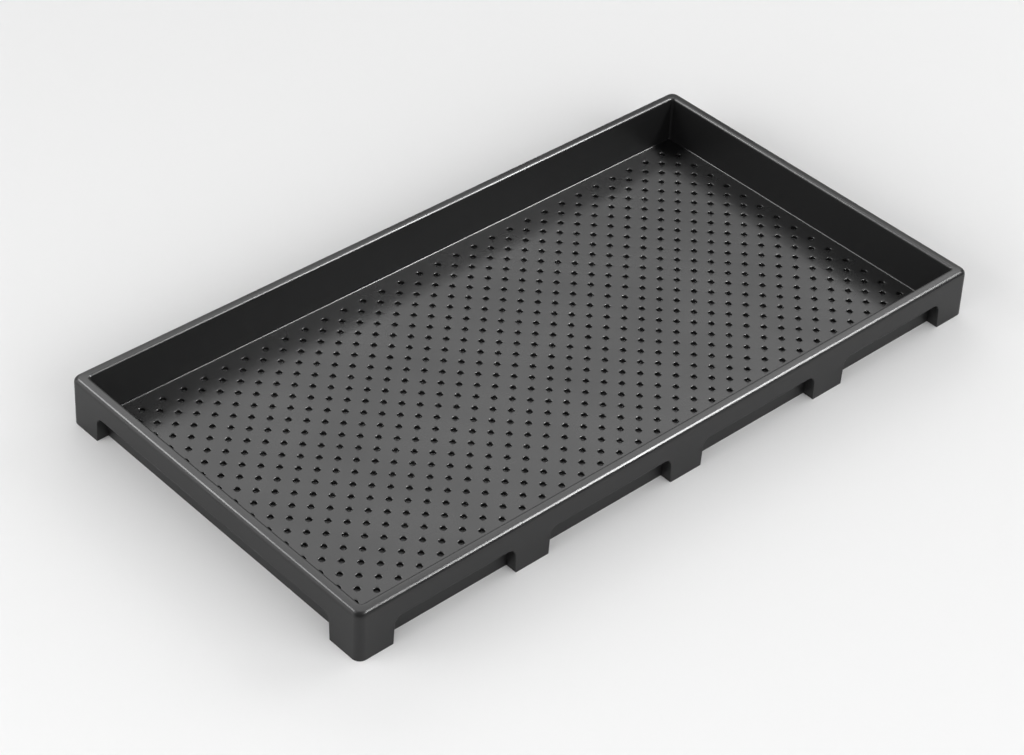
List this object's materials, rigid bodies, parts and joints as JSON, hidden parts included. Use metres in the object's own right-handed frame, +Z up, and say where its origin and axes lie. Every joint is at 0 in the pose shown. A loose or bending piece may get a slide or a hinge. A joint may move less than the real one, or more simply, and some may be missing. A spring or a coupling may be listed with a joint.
{
  "type": "seedling tray",
  "caption": "Shallow black plastic seedling tray with a flat drained floor, a hollow rim and a notched skirt that leaves feet.",
  "frame": {"origin": "centre of the footprint, on the ground under the feet", "axes": "+X along the tray's length, +Y across it, +Z up out of its mouth"},
  "size_m": [0.6, 0.3216, 0.041],
  "materials": {
    "black_polypropylene": "black injection-moulded polypropylene, satin, with a soft sheen on its rounded edges"
  },
  "bodies": {
    "root": {"tray": "black_polypropylene"}
  },
  "joints": []
}
